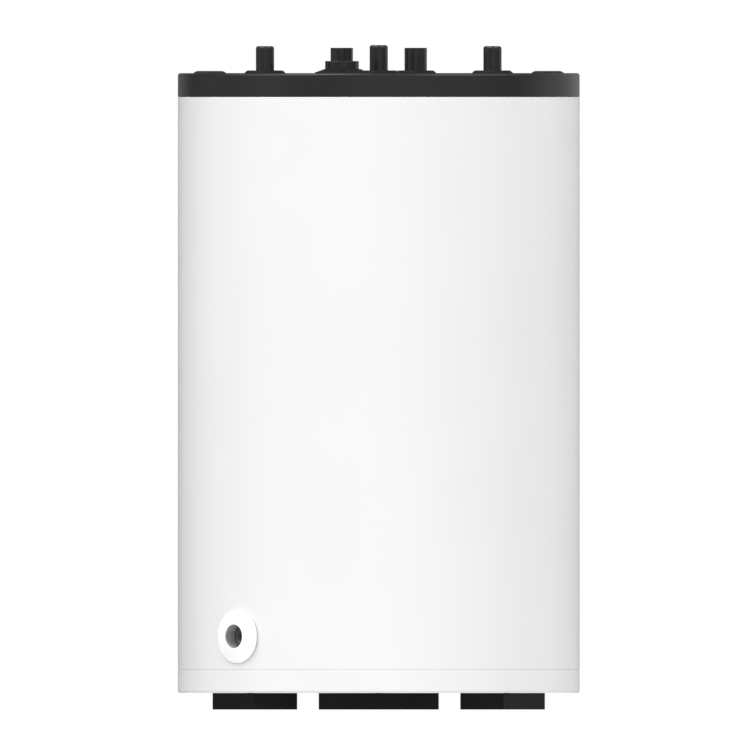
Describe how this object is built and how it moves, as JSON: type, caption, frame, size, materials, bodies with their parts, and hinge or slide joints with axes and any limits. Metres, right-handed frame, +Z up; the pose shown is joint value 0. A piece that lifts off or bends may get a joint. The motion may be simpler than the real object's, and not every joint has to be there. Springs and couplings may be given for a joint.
{
  "type": "indirect storage water heater",
  "caption": "Floor-standing storage water heater: white cylindrical casing, dark top cover with pipe connections and anode, internal tank with heating coil, drain opening and levelling feet.",
  "frame": {"origin": "on the floor, on the casing's axis", "axes": "+Z up along the casing's axis, -Y towards the front, +X to the right seen from the front"},
  "size_m": [0.59, 0.59, 0.975],
  "materials": {
    "white_enamelled_sheet": "satin",
    "white_plastic": "satin",
    "white_ring_plastic": "satin",
    "charcoal_plastic": "satin",
    "black_rubber": "matte",
    "black_block": "matte",
    "black_pipe": "gloss",
    "zinc_plated_steel": "satin",
    "blue_enamelled_steel": "gloss",
    "raw_steel": "satin",
    "coil_steel": "gloss",
    "magnesium": "matte",
    "foam": "matte",
    "white_tube_plastic": "satin",
    "grey_plastic": "satin",
    "plate_foil": "satin",
    "sensor_cap": "satin"
  },
  "bodies": {
    "root": {"base_pan": "white_plastic", "outer_casing": "white_enamelled_sheet", "casing_seam_strip": "white_plastic", "seam_screws": "zinc_plated_steel", "rating_plate": "plate_foil", "top_cover": "charcoal_plastic", "cover_cap_left": "charcoal_plastic", "cover_cap_right": "charcoal_plastic", "cover_studs": "zinc_plated_steel", "cover_nuts": "zinc_plated_steel", "insulation_side": "foam", "insulation_top": "foam", "insulation_bottom": "foam", "tank_shell": "blue_enamelled_steel", "tank_top_dome": "blue_enamelled_steel", "tank_bottom_dome": "blue_enamelled_steel", "support_ring": "raw_steel", "foot_brackets": "raw_steel", "foot_weld_nuts": "zinc_plated_steel", "heating_coil": "coil_steel", "coil_flow_nipple": "black_pipe", "coil_return_nipple": "black_pipe", "cold_water_nipple": "black_pipe", "hot_water_nipple": "black_pipe", "circulation_nipple": "black_pipe", "cold_dip_tube": "white_tube_plastic", "circulation_tube": "white_tube_plastic", "cold_pipe_grommet": "black_rubber", "hot_pipe_grommet": "black_rubber", "circulation_pipe_grommet": "black_rubber", "flow_pipe_grommet": "black_rubber", "return_pipe_grommet": "black_rubber", "anode_socket": "raw_steel", "anode_boot": "black_rubber", "sensor_pocket": "zinc_plated_steel", "sensor_gland": "black_rubber", "temperature_sensor": "sensor_cap", "drain_pipe": "raw_steel", "drain_sleeve": "grey_plastic", "drain_rosette": "white_ring_plastic"},
    "foot_rear": {"foot_block_rear": "black_block"},
    "foot_left": {"foot_block_left": "black_block"},
    "foot_right": {"foot_block_right": "black_block"},
    "spindle_rear": {"foot_spindle_rear": "zinc_plated_steel"},
    "spindle_left": {"foot_spindle_left": "zinc_plated_steel"},
    "spindle_right": {"foot_spindle_right": "zinc_plated_steel"},
    "anode_seal": {"anode_gasket": "black_rubber"},
    "anode": {"anode_plug": "black_pipe", "anode_rod": "magnesium", "anode_core": "zinc_plated_steel"}
  },
  "joints": [
    {"name": "foot_rear_height", "type": "slide", "parent": "root", "child": "foot_rear", "axis": [0, 0, -1], "range_m": [0, 0.012]},
    {"name": "spindle_rear_turn", "type": "hinge", "parent": "foot_rear", "child": "spindle_rear", "pos_m": [0, 0.2178, 0.03], "axis": [0, 0, -1], "range_deg": [0, 2881]},
    {"name": "foot_left_height", "type": "slide", "parent": "root", "child": "foot_left", "axis": [0, 0, -1], "range_m": [0, 0.012]},
    {"name": "spindle_left_turn", "type": "hinge", "parent": "foot_left", "child": "spindle_left", "pos_m": [-0.18862, -0.1089, 0.03], "axis": [0, 0, -1], "range_deg": [0, 2881]},
    {"name": "foot_right_height", "type": "slide", "parent": "root", "child": "foot_right", "axis": [0, 0, -1], "range_m": [0, 0.012]},
    {"name": "spindle_right_turn", "type": "hinge", "parent": "foot_right", "child": "spindle_right", "pos_m": [0.18862, -0.1089, 0.03], "axis": [0, 0, -1], "range_deg": [0, 2881]},
    {"name": "anode_rise", "type": "slide", "parent": "root", "child": "anode_seal", "axis": [0, 0, 1], "range_m": [0, 0.03002]},
    {"name": "anode_turn", "type": "hinge", "parent": "anode_seal", "child": "anode", "pos_m": [-0.054, -0.086, 0.94], "axis": [0, 0, 1], "range_deg": [0, 4681]}
  ],
  "couplings": [
    {"joint": "spindle_rear_turn", "follows": "foot_rear_height", "rad_per_m": 4188.8},
    {"joint": "spindle_left_turn", "follows": "foot_left_height", "rad_per_m": 4188.8},
    {"joint": "spindle_right_turn", "follows": "foot_right_height", "rad_per_m": 4188.8},
    {"joint": "anode_turn", "follows": "anode_rise", "rad_per_m": 2721.1}
  ]
}
